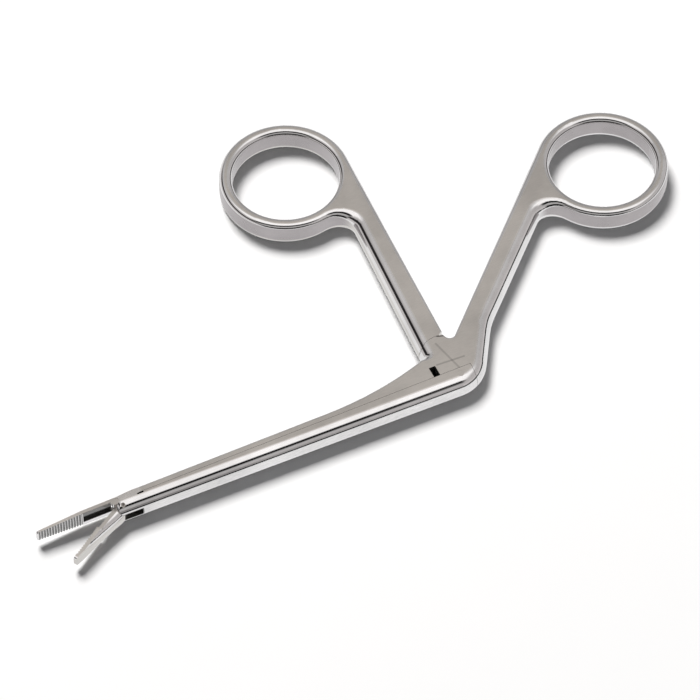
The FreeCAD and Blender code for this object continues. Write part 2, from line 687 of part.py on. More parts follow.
def strip(start, end, width, start_round, end_round):
    """A straight strip from point to point, as an outline; a round end reaches past its point."""
    along = (end - start).normalize()
    across = V(-along.y, along.x, 0) * (width / 2)
    tail = start - along * (width / 2 if start_round else 0)
    head = end + along * (width / 2 if end_round else 0)
    corner = 0.499 * width
    radii = [corner if start_round else 0, corner if end_round else 0]
    corners = [tail + across, tail - across, head - across, head + across]
    return rounded_polygon(corners, [radii[0], radii[0], radii[1], radii[1]])


def lever_blades():
    """The lever inside the body: a hub, the arm down to the drive pin and the neck up to the shank."""
    thickness = "Sizes.lever_thickness"
    hub = middle_plate("lever_hub_disc", [Part.Circle(ORIGIN, V(0, 0, 1), size("lever_hub"))], thickness)
    arm = middle_plate("lever_arm", strip(ORIGIN, DRIVE_PIN, size("lever_arm_width"), False, True), thickness)
    neck_top = polar(ORIGIN, size("shoulder_radius") + size("lever_neck") / 2, angle("lever_lean"))
    neck = middle_plate("lever_neck_blade", strip(ORIGIN, neck_top, size("lever_neck"), False, False), thickness)
    return [hub, arm, neck]


def moving_jaw():
    """The moving jaw in its own frame: closed, pointing along -X, with its pivot at the origin."""
    face_y = -size("mating_drop") - size("mating_gap")
    tip_x = -size("moving_jaw_length")
    base_x = -size("tooth_start")
    link = polar(ORIGIN, LINK_ARM, -math.pi / 2 - HALF_OPENING)
    root = V(0, -size("moving_jaw_root"), 0)
    base = V(base_x, -size("moving_jaw_base"), 0)
    tip_low = V(tip_x, face_y - size("jaw_tip_height"), 0)
    corners = [V(0, face_y, 0), V(tip_x, face_y, 0), tip_low, base, root]
    outline = rounded_polygon(corners, [0, 0, 0, size("jaw_bend_radius"), 0])
    blank = middle_plate("moving_jaw_blank", outline, "Sizes.jaw_root_width")
    low_front, bend, low_rear = outline[2:5]
    tip_radius = size("jaw_tip_height") * 0.8
    base_radius = size("jaw_base_round")
    root_radius = size("jaw_root_width") / 2 - size("side_land")
    full = rounded("moving_jaw_rounded", blank, [
        (low_front, tip_radius, base_radius), (bend, base_radius, base_radius),
        (low_rear, base_radius, root_radius)])
    length = size("moving_jaw_length")
    profile = side_view("moving_jaw_side_view", 0, length, length, size("jaw_tip_round"))
    smooth = common("moving_jaw_form", full, profile)
    recess = tall_plate("jaw_recess_cutter", box_outline(-size("tang_length"), face_y - size("tang_depth"),
                                                         size("jaw_length"), size("jaw_length")))
    nose_room = f"2 * {size('slide_nose') + size('root_clearance')}"
    comb = tooth_comb("moving_jaw_comb", face_y, base_x, tip_x + size("tooth_tip_margin"), -1)
    carved = cut_all("moving_jaw_carved", smooth, [recess, hole_cutter("nose_room_cutter", link, nose_room), comb])
    whole = join("moving_jaw_joined", [carved, tang(face_y, link)])
    play = size("link_play")
    along = V(math.cos(heading(ORIGIN, link)), math.sin(heading(ORIGIN, link)), 0)
    slot_width = size("link_pin") + 2 * size("running_gap")
    slot = tall_plate("link_slot_cutter", strip(link - along * play, link + along * play, slot_width, True, True))
    return cut_all("moving_jaw", whole, [
        hole_cutter("tang_pivot_hole", ORIGIN, "Sizes.jaw_pin + 2 * Sizes.running_gap"), slot])


def tang(face_y, link):
    """The thin tang: round the pivot and the link pin, and forward along the toothed face."""
    hub = size("tang_hub")
    end = size("tang_end")
    front = -size("tang_length") - size("tang_depth") / 4
    low = face_y - size("tang_depth") * 1.4
    corners = [V(hub, hub, 0), V(-hub, hub, 0), V(-hub * 2, face_y, 0), V(front, face_y, 0), V(front, low, 0),
               V(link.x - 2 * end, link.y - end, 0), V(link.x + end, link.y - end, 0)]
    return middle_plate("tang_blade", rounded_polygon(corners, [hub, hub * 0.99, hub / 2, 0, 0, end / 3, end * 0.9]),
                        "Sizes.tang_thickness")


def pin(name, centre, diameter, length):
    """A round pin across the instrument, centred between its faces."""
    body = DOC.addObject("PartDesign::Body", name)
    sketch = add_sketch(body, name + "_section", level=f"(Sizes.thickness - ({length})) / 2")
    sketch.addGeometry(Part.Circle(centre, V(0, 0, 1), 1))
    sketch.addConstraint(Sketcher.Constraint("Diameter", 0, 2))
    sketch.setExpression("Constraints[0]", diameter)
    add_pad(body, name + "_pad", sketch, length)
    return body


TOOTH_FACE_Y = JAW_PIVOT.y - size("mating_drop")
TIP_X = JAW_PIVOT.x - size("jaw_length")


def build():
    """Make every piece, move them all to the shared origin and return them by name."""
    full, tapered = forging()
    pieces = {
        "fixed_half": fixed_half(tapered),
        "front_handle": front_handle(),
        "slide_bar": slide_bar(full),
        "moving_jaw": moving_jaw(),
        "handle_pivot_pin": pin("handle_pivot_pin", ORIGIN, "Sizes.handle_pin", "Sizes.thickness"),
        "drive_pin": pin("drive_pin", DRIVE_PIN, "Sizes.drive_pin", "Sizes.thickness - 2 * Sizes.pin_recess"),
        "jaw_pivot_pin": pin("jaw_pivot_pin", JAW_PIVOT, "Sizes.jaw_pin",
                             "Sizes.jaw_root_width - 2 * Sizes.pin_recess"),
        "link_pin": pin("link_pin", LINK_PIN, "Sizes.link_pin", "Sizes.jaw_root_width - 2 * Sizes.pin_recess"),
    }
    jaw = pieces["moving_jaw"]
    jaw.Placement = FreeCAD.Placement(JAW_PIVOT, FreeCAD.Rotation(V(0, 0, 1), size("jaw_opening")))
    DOC.recompute()
    box = FreeCAD.BoundBox()
    for piece in pieces.values():
        box.add(piece.Shape.optimalBoundingBox(False))
    shift = V(-box.Center.x, -box.Center.y, -box.ZMin)
    for label, piece in pieces.items():
        piece.Label = label
        piece.Placement.Base = piece.Placement.Base + shift
    DOC.recompute()
    return pieces


def check(pieces):
    """Stop on a failed feature or a bad shape before anything is written."""
    for item in DOC.Objects:
        if "Invalid" in item.State or "Error" in item.State:
            raise RuntimeError(f"{item.Label} did not build: {item.State}")
    for label, piece in pieces.items():
        shape = piece.Shape
        if shape.isNull() or not shape.isValid() or len(shape.Solids) != 1:
            raise RuntimeError(f"{label} is not one valid solid")


def write(pieces):
    os.makedirs("parts", exist_ok=True)
    for label, piece in pieces.items():
        piece.Shape.exportStep(f"parts/{label}.step")


PIECES = build()
check(PIECES)
write(PIECES)
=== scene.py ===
"""Alligator ear forceps on a white table: steel finishes, small marks, table, lamp and camera."""

import json
import math

import bpy
import numpy as np
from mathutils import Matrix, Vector


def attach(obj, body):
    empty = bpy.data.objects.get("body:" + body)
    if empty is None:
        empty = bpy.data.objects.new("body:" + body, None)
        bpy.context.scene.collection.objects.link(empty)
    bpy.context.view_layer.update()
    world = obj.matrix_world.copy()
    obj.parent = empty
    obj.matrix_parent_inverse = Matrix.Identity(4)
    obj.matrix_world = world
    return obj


bl_info = {
    "name": "Alligator Ear Forceps",
    "version": (1, 0, 0),
    "blender": (4, 5, 0),
    "location": "View3D > Sidebar > Forceps",
    "description": "Finishes the steel of a pair of alligator ear forceps and sets its studio",
    "category": "Object",
}

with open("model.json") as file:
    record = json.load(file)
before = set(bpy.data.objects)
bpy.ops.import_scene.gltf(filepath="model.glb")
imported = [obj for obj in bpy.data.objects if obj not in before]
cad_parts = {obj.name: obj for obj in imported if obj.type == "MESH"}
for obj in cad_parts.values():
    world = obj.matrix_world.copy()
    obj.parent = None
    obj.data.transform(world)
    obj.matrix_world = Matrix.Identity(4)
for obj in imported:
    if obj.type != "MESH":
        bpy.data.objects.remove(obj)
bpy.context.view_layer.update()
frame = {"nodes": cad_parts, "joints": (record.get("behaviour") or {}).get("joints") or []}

# The pivot of the handles is where the shaft's own measures start from.
PIVOT = np.array(frame["joints"][0]["pos_m"])


def corner_of(along, across, level):
    """A point, in millimetres from the pivot along and across the shaft and above the table."""
    return (PIVOT[0] + along / 1000, PIVOT[1] + across / 1000, level / 1000)


def place_of(along, across):
    """A point seen from above, in millimetres from the pivot along and across the shaft."""
    return Vector((PIVOT[0] + along / 1000, PIVOT[1] + across / 1000, 0))


# Centres of the finger rings. Seen from above, the first distance from one is still on the ring
# and the second is on the shank.
REAR_RING = place_of(44.0744, 27.5943)
FRONT_RING = place_of(-8.4844, 49.3764)
RING_REACH = (0.0135, 0.0165)

# Scratches, as start, end, width and depth of tone: a faint cross over the handle pivot, and the
# short dark end of the seam in the crotch of the handles.
PIVOT_MARKS = [
    (place_of(-0.64, 4.18), place_of(0.93, -2.59), 0.00028, 0.26),
    (place_of(-2.45, -0.03), place_of(2.64, -0.32), 0.00026, 0.30),
]
SEAM_MARK = (place_of(0.23, 5.50), place_of(1.40, 5.10), 0.00018, 0.85)
SCRATCH_COLOUR = (0.03, 0.027, 0.024, 1)

# Painted shade, as boxes: low corner, high corner and depth of tone. In a box the steel is painted
# near black and is no longer metal, standing for the shade in hollows and slots. Those of the fixed
# half are the jaw's slot and the side wall above it, the lever's slot in the body, the small window
# over it, and the gaps between the teeth.
FIXED_PAINTED_SHADE = [
    (corner_of(-70.3, -1.85, 1.53), corner_of(-61.7, -1.0, 3.17), 0.95),
    (corner_of(-70.3, -1.90, 3.10), corner_of(-65.1, -1.6, 4.45), 0.85),
    (corner_of(-3.05, -2.25, 1.5), corner_of(2.65, 5.5, 3.2), 0.95),
    (corner_of(-4.45, -2.25, 1.5), corner_of(-2.8, 0.35, 4.66), 0.95),
    (corner_of(-78.5, -1.84, 0.3), corner_of(-70.4, -1.62, 4.4), 0.8),
]
# Painted shade on the slide bar where it lies level with the jaw's slot, and on the whole wall that
# closes the back of that slot.
FORK_PAINTED_SHADE = (corner_of(-66.0, -6.2, 1.53), corner_of(-60.2, -2.0, 3.17), 0.95)
SLOT_BACK_PAINTED_SHADE = (corner_of(-71.0, -1.30, 1.4), corner_of(-64.0, -1.09, 3.3), 0.95)
# The near black of the painted shade.
PAINTED_SHADE_COLOUR = (0.02, 0.018, 0.016, 1)

# The thin wall that closes the back of the fixed jaw's slot, painted near black all over to stand
# for the shade in the slot: two corners and the rounding of its edges.
SLOT_BACK = (corner_of(-70.30, -1.14, 1.53), corner_of(-64.90, -1.02, 3.17))
SLOT_BACK_ROUNDING = 0.3

# How far the surface normal points up on a level face, from where the satin begins to where it is
# full, and on a side, from where the side's painted shade is full to where it ends.
LEVEL_FACE = (0.975, 0.999)
SIDE_FACE = (0.22, 0.42)

# The same for a ring's wall, as the middle of its range and the distances from the middle at which
# the wall's painted shade is full and at which it ends.
WALL_MIDDLE = 0.13
WALL_REACH = (0.15, 0.29)

# Scales of the noise on the steel, per metre: grinding lines along, across and through the piece,
# clouds of tone, and the soft waves of hand polishing. The noise lies mostly within NOISE_SPAN.
GRINDING = (900, 26000, 9000)
CLOUDS = 95.0
WAVES = 420.0
NOISE_SPAN = (0.3, 0.7)

# What the steel mirrors ahead, as pairs of height and brightness. Height is in degrees above the
# horizon: 0 is the horizon behind the camera, 90 is overhead and 180 is the horizon opposite.
SURROUND = [
    (0, 0.01), (22, 0.015), (28, 0.40), (45, 0.46), (48, 0.12), (51, 0.01), (68, 0.01), (71, 0.8),
    (76, 1.0), (104, 1.0), (118, 0.50), (150, 0.38), (172, 0.30), (180, 0.02),
]

# The same to the camera's left and right, as a share of the side colour, by height from 0 at the
# horizon to 1 overhead.
LEFT_SIDE = [(0, 1.15), (0.28, 1.15), (0.33, 0.04), (0.56, 0.04), (0.63, 0.95), (1, 1.0)]
RIGHT_SIDE = [(0, 0.04), (0.15, 0.04), (0.21, 1.3), (0.45, 1.0), (1, 1.0)]

# How far to the side a direction points where the sides begin and where they are full.
SIDE_REACH = (0.46, 0.70)

WHITE = (1, 1, 1, 1)
FILL_COLOUR = (0.95, 0.97, 1.0, 1)
KEY_COLOUR = (1.0, 0.99, 0.97)
KEY_DISTANCE = 2.5

# The table lies this far below the forceps, so that the two don't touch.
TABLE_LEVEL = -0.00002


# Node helpers

def add_node(tree, kind, inputs=None, **settings):
    """A node of a kind with its settings and its input values. The nodes of a tree stand in rows
    of eight, in the order in which they are made."""
    node = tree.nodes.new(kind)
    row, column = divmod(len(tree.nodes), 8)
    node.location = (200 * column, -350 * row)
    for name, value in settings.items():
        setattr(node, name, value)
    for name, value in (inputs or {}).items():
        feed(tree, node.inputs[name], value)
    return node


def feed(tree, socket, value):
    """Link an input to an output, or give it a plain value."""
    if isinstance(value, bpy.types.NodeSocket):
        tree.links.new(value, socket)
    else:
        socket.default_value = value


def math_node(tree, operation, *values, clamp=False):
    """A Math node. In this and the next helpers each value is a socket or plain."""
    node = add_node(tree, "ShaderNodeMath", dict(enumerate(values)), operation=operation,
                    use_clamp=clamp)
    return node.outputs[0]


def vector_node(tree, operation, first, second):
    """A Vector Math node. SCALE takes a vector and a number."""
    inputs = {0: first, "Scale" if operation == "SCALE" else 1: second}
    node = add_node(tree, "ShaderNodeVectorMath", inputs, operation=operation)
    return node.outputs["Value" if operation in ("DOT_PRODUCT", "DISTANCE") else "Vector"]


def map_range(tree, value, span, start, end):
    """A value that goes smoothly from a start to an end over a span, and stays there."""
    inputs = {0: value, 1: span[0], 2: span[1], 3: start, 4: end}
    return add_node(tree, "ShaderNodeMapRange", inputs, interpolation_type="SMOOTHSTEP").outputs[0]


def mix_colour(tree, factor, first, second):
    inputs = {0: factor, 6: first, 7: second}
    return add_node(tree, "ShaderNodeMix", inputs, data_type="RGBA").outputs[2]


def mix_value(tree, factor, first, second):
    inputs = {0: factor, 2: first, 3: second}
    return add_node(tree, "ShaderNodeMix", inputs, data_type="FLOAT").outputs[0]


def mix_shader(tree, factor, first, second):
    return add_node(tree, "ShaderNodeMixShader", {0: factor, 1: first, 2: second}).outputs[0]


def noise(tree, vector, scale, detail, roughness=0.55):
    inputs = {"Vector": vector, "Scale": scale, "Detail": detail, "Roughness": roughness}
    return add_node(tree, "ShaderNodeTexNoise", inputs).outputs["Fac"]


def turned(tree, vector, turn, scale=(1, 1, 1)):
    """Coordinates turned about Z and scaled. With a scale that differs by axis, a noise on them
    becomes fine parallel lines."""
    inputs = {"Vector": vector, "Rotation": (0, 0, turn), "Scale": scale}
    return add_node(tree, "ShaderNodeMapping", inputs).outputs["Vector"]


def axes_of(tree, vector):
    """The X, Y and Z parts of a vector."""
    return list(add_node(tree, "ShaderNodeSeparateXYZ", {0: vector}).outputs)


# Marks on the steel, as masks that are 1 on the mark and 0 elsewhere

def box_mask(tree, position, low, high):
    """1 inside a box given by two corners, where the position is the three parts of a point."""
    mask = None
    for part, start, end in zip(position, low, high):
        inside = math_node(tree, "COMPARE", part, (start + end) / 2, (end - start) / 2)
        mask = inside if mask is None else math_node(tree, "MULTIPLY", mask, inside)
    return mask


def scratch_mask(tree, place, start, end, width):
    """1 along a straight line between two points, seen from above: with a = start, b = end and
    t = (p - a).(b - a) / |b - a|^2 held to 0..1, the distance to the line is
    |p - a - t (b - a)|."""
    along = end - start
    away = vector_node(tree, "MULTIPLY", vector_node(tree, "SUBTRACT", place, start), (1, 1, 0))
    dot = vector_node(tree, "DOT_PRODUCT", away, along)
    share = math_node(tree, "DIVIDE", dot, along.length_squared, clamp=True)
    distance = vector_node(tree, "DISTANCE", away, vector_node(tree, "SCALE", along, share))
    return map_range(tree, distance, (width / 4, width), 1.0, 0.0)


def ring_mask(tree, place, centre):
    """1 on the finger ring round a centre, seen from above."""
    level = vector_node(tree, "MULTIPLY", place, (1, 1, 0))
    return map_range(tree, vector_node(tree, "DISTANCE", level, centre), RING_REACH, 1.0, 0.0)


# Steel

def steel(name, look, grain_turn, edge_roughness=None, side_colour=None, ring=None,
          scratches=(), painted_shade=()):
    """Stainless steel: satin on the level faces, with fine grinding lines along a direction, and
    polished round the edges, where soft waves from hand polishing bend the reflections. A side
    colour, where given, is painted shade on all that faces sideways or down. The upright wall of
    the finger ring round a centre is rougher and painted darker as shade, scratches are dark, and
    the boxes of painted shade turn hollows and slots near black."""
    material = bpy.data.materials.new(name)
    material.use_nodes = True
    tree = material.node_tree
    shader = tree.nodes["Principled BSDF"].inputs
    place = add_node(tree, "ShaderNodeTexCoord").outputs["Object"]
    normal = add_node(tree, "ShaderNodeNewGeometry").outputs["Normal"]
    upward = axes_of(tree, normal)[2]
    flat = map_range(tree, math_node(tree, "ABSOLUTE", upward), LEVEL_FACE, 0.0, 1.0)
    grain = turned(tree, place, grain_turn, GRINDING)
    lines = noise(tree, grain, scale=1.0, detail=4.0, roughness=0.6)
    cloud = noise(tree, place, CLOUDS, detail=5.0)
    wave = noise(tree, place, WAVES, detail=2.0)

    sides = (*look.edge_colour, 1)
    side_roughness = look.edge_roughness if edge_roughness is None else edge_roughness
    # Painted shade: what faces sideways or down takes the darker side colour.
    if side_colour is not None:
        on_side = map_range(tree, upward, SIDE_FACE, 1.0, 0.0)
        sides = mix_colour(tree, on_side, sides, (*side_colour, 1))
    # Painted shade: the ring's upright wall is darker, and it is rougher too.
    if ring is not None:
        tilt = math_node(tree, "ABSOLUTE", math_node(tree, "SUBTRACT", upward, WALL_MIDDLE))
        upright = map_range(tree, tilt, WALL_REACH, 1.0, 0.0)
        wall = math_node(tree, "MULTIPLY", ring_mask(tree, place, ring), upright)
        sides = mix_colour(tree, wall, sides, (*look.ring_wall_shade_colour, 1))
        side_roughness = mix_value(tree, wall, side_roughness, look.ring_wall_roughness)

    base = mix_colour(tree, flat, sides, (*look.flat_colour, 1))
    line_tone = map_range(tree, lines, NOISE_SPAN, 0.93, 1.05)
    cloud_tone = map_range(tree, cloud, NOISE_SPAN, 0.90, 1.08)
    colour = vector_node(tree, "SCALE", base, math_node(tree, "MULTIPLY", line_tone, cloud_tone))
    position = axes_of(tree, place)
    # Painted shade: in each box the colour goes near black and the metal share goes down with it.
    shade_share = 0.0
    for low, high, depth in painted_shade:
        amount = math_node(tree, "MULTIPLY", box_mask(tree, position, low, high), depth)
        colour = mix_colour(tree, amount, colour, PAINTED_SHADE_COLOUR)
        shade_share = math_node(tree, "MAXIMUM", shade_share, amount)
    for start, end, width, depth in scratches:
        mask = scratch_mask(tree, place, start, end, width)
        amount = math_node(tree, "MULTIPLY", math_node(tree, "MULTIPLY", mask, depth), flat)
        colour = mix_colour(tree, amount, colour, SCRATCH_COLOUR)
    feed(tree, shader["Base Color"], colour)
    feed(tree, shader["Metallic"], math_node(tree, "SUBTRACT", 1.0, shade_share) if painted_shade else 1.0)
    feed(tree, shader["IOR"], 2.5)

    rough = mix_value(tree, flat, side_roughness, look.flat_roughness)
    spread = map_range(tree, cloud, NOISE_SPAN, -0.03, 0.03)
    feed(tree, shader["Roughness"], math_node(tree, "ADD", rough, spread))
    grooves = math_node(tree, "MULTIPLY", lines, flat)
    relief = math_node(tree, "ADD", grooves, math_node(tree, "MULTIPLY", wave, 0.6))
    bump = {"Height": relief, "Strength": 0.35, "Distance": 0.00002}
    feed(tree, shader["Normal"], add_node(tree, "ShaderNodeBump", bump).outputs[0])
    return material


def finish_node(node, material):
    """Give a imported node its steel."""
    mesh = frame["nodes"][node].data
    mesh.materials.clear()
    mesh.materials.append(material)


# Table, lamp and camera

def table_material(look):
    """White table: plain paint that takes the shadow, lifted to white for the camera. Mirrored in
    the steel it is plain and evenly bright, but the steel throws no more light back on it for
    that."""
    material = bpy.data.materials.new("white_table")
    material.use_nodes = True
    tree = material.node_tree
    tree.nodes.clear()
    place = add_node(tree, "ShaderNodeTexCoord").outputs["Object"]
    grain = noise(tree, place, scale=90.0, detail=4.0)
    tone = map_range(tree, grain, (0.2, 0.8), 0.995, 1.0)
    colour = vector_node(tree, "SCALE", look.table_colour, tone)
    paint = add_node(tree, "ShaderNodeBsdfDiffuse", {"Color": colour})
    ray = add_node(tree, "ShaderNodeLightPath").outputs
    lift = math_node(tree, "MULTIPLY", ray["Is Camera Ray"], look.table_lift)
    glow = add_node(tree, "ShaderNodeEmission", {"Strength": lift})
    lit = add_node(tree, "ShaderNodeAddShader", {0: paint.outputs[0], 1: glow.outputs[0]})
    even = add_node(tree, "ShaderNodeEmission", {"Color": WHITE, "Strength": look.table_mirrored})
    reflected = math_node(tree, "MAXIMUM", ray["Is Glossy Ray"], ray["Is Transmission Ray"])
    direct = math_node(tree, "LESS_THAN", ray["Diffuse Depth"], 0.5)
    mirrored = math_node(tree, "MULTIPLY", reflected, direct)
    shown = mix_shader(tree, mirrored, lit.outputs[0], even.outputs[0])
    add_node(tree, "ShaderNodeOutputMaterial", {0: shown})
    return material


def table_mesh(half_width, level):
    """A square on a grid of two parameters u and v from -1 to 1: x = half_width u and
    y = half_width v."""
    side = np.linspace(-1, 1, 9)
    u, v = np.meshgrid(side, side, indexing="ij")
    return np.stack([half_width * u, half_width * v, np.full(u.shape, level)], axis=-1)


def add_piece(name, points, faces):
    """A mesh object from an array of points and a list of faces."""
    mesh = bpy.data.meshes.new(name)
    mesh.from_pydata(points.reshape(-1, 3), [], faces)
    piece = bpy.data.objects.new(name, mesh)
    bpy.context.scene.collection.objects.link(piece)
    return piece


def grid_object(name, points):
    """A mesh object from a grid of points, whose faces point to the side that u cross v gives."""
    rows, columns, _ = points.shape
    index = np.arange(rows * columns).reshape(rows, columns)
    quads = np.stack([index[:-1, :-1], index[1:, :-1], index[1:, 1:], index[:-1, 1:]], axis=-1)
    return add_piece(name, points, quads.reshape(-1, 4).tolist())


def bar_object(name, low, high, rounding, stations=9, corners=32):
    """A bar along X between two corners, closed by a flat end on either side. Its section goes
    round by an angle t: y = centre + half (|cos t|^rounding with the sign of cos t), and z likewise
    with sin t, so that a small rounding gives a rectangle with soft corners."""
    low, high = np.array(low), np.array(high)
    middle, half = (low + high) / 2, (high - low) / 2
    turn = np.linspace(0, 2 * np.pi, corners, endpoint=False)
    across = middle[1] + half[1] * np.sign(np.cos(turn)) * np.abs(np.cos(turn)) ** rounding
    upward = middle[2] + half[2] * np.sign(np.sin(turn)) * np.abs(np.sin(turn)) ** rounding
    along, across = np.meshgrid(np.linspace(low[0], high[0], stations), across, indexing="ij")
    points = np.stack([along, across, np.broadcast_to(upward, along.shape)], axis=-1)
    index = np.arange(along.size).reshape(along.shape)
    after = np.roll(index, -1, axis=1)
    quads = np.stack([index[:-1], index[1:], after[1:], after[:-1]], axis=-1)[..., ::-1]
    ends = [index[0, ::-1].tolist(), index[-1].tolist()]
    return add_piece(name, points, quads.reshape(-1, 4).tolist() + ends)


def studio_place(azimuth, elevation, distance, centre):
    """The point at a distance from a centre, in a direction given in degrees as the views are."""
    side = math.radians(azimuth)
    rise = math.radians(elevation)
    level = math.cos(rise)
    back = Vector((math.sin(side) * level, -math.cos(side) * level, math.sin(rise)))
    return Vector(centre) + back * distance


def add_aimed(name, data, place, target):
    """An object with a lamp or a camera, at a place and facing a target."""
    piece = bpy.data.objects.new(name, data)
    bpy.context.scene.collection.objects.link(piece)
    piece.location = place
    piece.rotation_euler = (Vector(target) - place).to_track_quat("-Z", "Y").to_euler()
    return piece


def key_lamp(look, centre):
    """A square lamp behind the forceps that lights the table and isn't mirrored in the steel."""
    lamp = bpy.data.lights.new("key", "AREA")
    lamp.size = look.key_size
    lamp.energy = look.key_power
    lamp.color = KEY_COLOUR
    azimuth = look.azimuth + 180 + look.key_turn
    place = studio_place(azimuth, look.key_height, KEY_DISTANCE, centre)
    add_aimed("key", lamp, place, centre).visible_glossy = False


def photograph_camera(look, centre):
    """The camera, where the photo was taken from."""
    camera = bpy.data.cameras.new("photograph")
    camera.lens = look.focal_length
    camera.sensor_width = 36.0
    camera.clip_start = 0.01
    camera.clip_end = 50.0
    place = studio_place(look.azimuth, look.elevation, look.distance, centre)
    return add_aimed("photograph", camera, place, centre)


def tone_ramp(tree, value, stops, span):
    """A colour ramp through pairs of height and brightness, faintly warm all along."""
    ramp = add_node(tree, "ShaderNodeValToRGB", {"Fac": value})
    elements = ramp.color_ramp.elements
    elements[0].position, elements[1].position = 0.0, 1.0
    for height, _ in stops[1:-1]:
        elements.new(height / span)
    for element, (_, tone) in zip(elements, stops):
        element.color = (tone, tone * 0.98, tone * 0.97, 1)
    return ramp.outputs["Color"]


def studio_world(look):
    """Plain white for the camera, a dim even light for the table, and for the steel a surround of
    bright and dark bands that lie level: behind and above the camera, and to its left and right."""
    world = bpy.data.worlds.new("studio")
    world.use_nodes = True
    tree = world.node_tree
    tree.nodes.clear()
    direction = add_node(tree, "ShaderNodeTexCoord").outputs["Generated"]
    x, y, z = axes_of(tree, turned(tree, direction, -math.radians(look.azimuth)))
    turn = math_node(tree, "ARCTAN2", z, math_node(tree, "MULTIPLY", y, -1.0))
    share = math_node(tree, "DIVIDE", turn, math.pi, clamp=True)
    ahead = tone_ramp(tree, share, SURROUND, 180)
    height = math_node(tree, "ABSOLUTE", z)
    left = tone_ramp(tree, height, LEFT_SIDE, 1)
    right = tone_ramp(tree, height, RIGHT_SIDE, 1)
    bands = mix_colour(tree, math_node(tree, "GREATER_THAN", x, 0.0), left, right)
    sides = vector_node(tree, "MULTIPLY", bands, look.side_colour)
    aside = map_range(tree, math_node(tree, "ABSOLUTE", x), SIDE_REACH, 0.0, 1.0)

    ray = add_node(tree, "ShaderNodeLightPath").outputs
    dim, mirror, white = (
        add_node(tree, "ShaderNodeBackground", {"Color": colour, "Strength": strength}).outputs[0]
        for colour, strength in (
            (FILL_COLOUR, look.fill),
            (mix_colour(tree, aside, ahead, sides), look.surround_strength),
            (WHITE, 1.0),
        ))
    lit = mix_shader(tree, ray["Is Glossy Ray"], dim, mirror)
    seen = math_node(tree, "MAXIMUM", ray["Is Camera Ray"], ray["Is Transmission Ray"])
    add_node(tree, "ShaderNodeOutputWorld", {0: mix_shader(tree, seen, lit, white)})
    return world


# Settings of the panel

class ForcepsSteel(bpy.types.PropertyGroup):
    """Colours and gloss of the steel"""
    flat_colour: bpy.props.FloatVectorProperty(
        name="Flat colour", description="Reflected colour of the satin faces", subtype="COLOR",
        default=(0.64, 0.605, 0.565), min=0, max=1)
    edge_colour: bpy.props.FloatVectorProperty(
        name="Edge colour", description="Reflected colour of the polished edges", subtype="COLOR",
        default=(0.76, 0.75, 0.75), min=0, max=1)
    flat_roughness: bpy.props.FloatProperty(
        name="Flat roughness", description="Roughness of the satin faces", subtype="FACTOR",
        default=0.34, min=0, max=1)
    edge_roughness: bpy.props.FloatProperty(
        name="Edge roughness", description="Roughness of the polished edges", subtype="FACTOR",
        default=0.075, min=0, max=1)
    # Painted shade on the sides that face sideways or down.
    side_shade_colour: bpy.props.FloatVectorProperty(
        name="Side shade colour", description="Reflected colour of the duller sides",
        subtype="COLOR", default=(0.62, 0.60, 0.575), min=0, max=1)
    # Painted shade on the rings' upright walls.
    ring_wall_shade_colour: bpy.props.FloatVectorProperty(
        name="Ring wall colour", description="Reflected colour of the rings' upright walls",
        subtype="COLOR", default=(0.42, 0.395, 0.40), min=0, max=1)
    ring_wall_roughness: bpy.props.FloatProperty(
        name="Ring wall roughness", description="Roughness of the rings' upright walls",
        subtype="FACTOR", default=0.28, min=0, max=1)


class ForcepsStage(bpy.types.PropertyGroup):
    """Table, lamp and camera"""
    table_colour: bpy.props.FloatVectorProperty(
        name="Table colour", description="Paint of the table", subtype="COLOR",
        default=(0.86, 0.86, 0.87), min=0, max=1)
    table_lift: bpy.props.FloatProperty(
        name="Table lift", description="How much brighter the table looks than its paint",
        default=0.06, min=0, max=1)
    table_mirrored: bpy.props.FloatProperty(
        name="Table in the steel", description="How bright the table looks in the steel",
        default=0.95, min=0, max=1)
    table_size: bpy.props.FloatProperty(
        name="Table size", description="Width of the table", subtype="DISTANCE", default=6.0,
        min=0.5)
    azimuth: bpy.props.FloatProperty(
        name="Azimuth", description="Direction that the camera stands in, in degrees",
        default=-25.46)
    elevation: bpy.props.FloatProperty(
        name="Elevation", description="Height of the camera above the table, in degrees",
        default=54.0)
    distance: bpy.props.FloatProperty(
        name="Distance", description="Camera to the point it looks at", subtype="DISTANCE",
        default=0.8)
    focal_length: bpy.props.FloatProperty(
        name="Focal length", description="Lens, in millimetres on a 36 mm sensor", default=234.5)
    offset: bpy.props.FloatVectorProperty(
        name="Offset", subtype="TRANSLATION", default=(-0.0132505, 0.0124552, 0.0),
        description="Handle pivot to the point on the table that the camera looks at")
    key_turn: bpy.props.FloatProperty(
        name="Key turn", description="Key lamp, turned from opposite the camera, in degrees",
        default=27.0)
    key_height: bpy.props.FloatProperty(
        name="Key height", description="Height of the key lamp above the table, in degrees",
        default=55.0)
    key_size: bpy.props.FloatProperty(
        name="Key size", description="Width of the key lamp", subtype="DISTANCE", default=1.0,
        min=0.01)
    key_power: bpy.props.FloatProperty(
        name="Key power", description="Power of the key lamp, in watts", default=84.0, min=0)
    fill: bpy.props.FloatProperty(
        name="Fill", description="Even light that reaches into the shadows", default=0.08, min=0)
    surround_strength: bpy.props.FloatProperty(
        name="Surround", description="Brightness of what the steel mirrors", default=1.2, min=0)
    side_colour: bpy.props.FloatVectorProperty(
        name="Side colour", description="What the steel mirrors to the left and right",
        subtype="COLOR", default=(0.46, 0.45, 0.45), min=0, max=1)


# Steps

